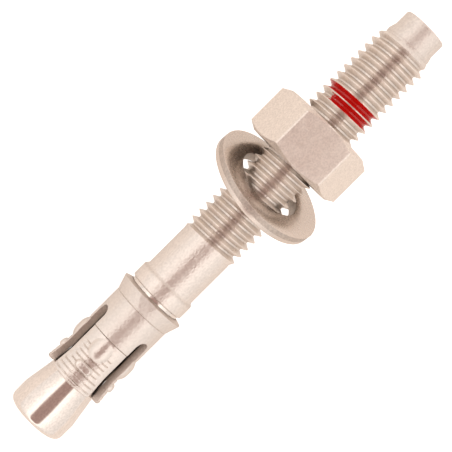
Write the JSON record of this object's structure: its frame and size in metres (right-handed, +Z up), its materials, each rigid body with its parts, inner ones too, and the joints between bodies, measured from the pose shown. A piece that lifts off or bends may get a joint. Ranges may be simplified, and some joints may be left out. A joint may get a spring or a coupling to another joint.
{
  "type": "wedge anchor",
  "caption": "Stainless wedge anchor: stud with expansion cone, slotted expansion clip, collar, threaded shank with a red setting mark, loose flat washer and hexagon nut.",
  "frame": {"origin": "middle of the length and width of the anchor as it lies, on the surface it rests on", "axes": "+X runs with the anchor's length towards its struck end, +Z up; the stud's axis rises by 4.60 degrees along +X, because the loose washer holds it up"},
  "size_m": [0.086, 0.0203, 0.0185],
  "materials": {
    "stud_steel": "cold-formed bright stainless steel, polished cone, faint drawing marks on the shank",
    "clip_steel": "rolled stainless strip, bright with soft reflections",
    "washer_steel": "stamped stainless steel, bright faces, sheared rim",
    "nut_steel": "cold-forged stainless steel, fine satin grain"
  },
  "bodies": {
    "stud": {"anchor_stud": "stud_steel"},
    "clip": {"expansion_clip": "clip_steel"},
    "washer": {"flat_washer": "washer_steel"},
    "nut": {"hex_nut": "nut_steel"}
  },
  "joints": [
    {"name": "clip_turn", "type": "hinge", "parent": "stud", "child": "clip", "pos_m": [-0.02499, 0, 0.00642], "axis": [0.9968, 0, 0.0803], "continuous": true},
    {"name": "nut_travel", "type": "slide", "parent": "stud", "child": "washer", "axis": [0.9968, 0, 0.0803], "range_m": [-0.0165, 0.0155]},
    {"name": "nut_turn", "type": "hinge", "parent": "washer", "child": "nut", "pos_m": [0.01735, 0, 0.00983], "axis": [0.9968, 0, 0.0803], "range_deg": [-3960, 3720]}
  ],
  "couplings": [
    {"joint": "nut_travel", "follows": "nut_turn", "m_per_rad": 0.00023873}
  ]
}
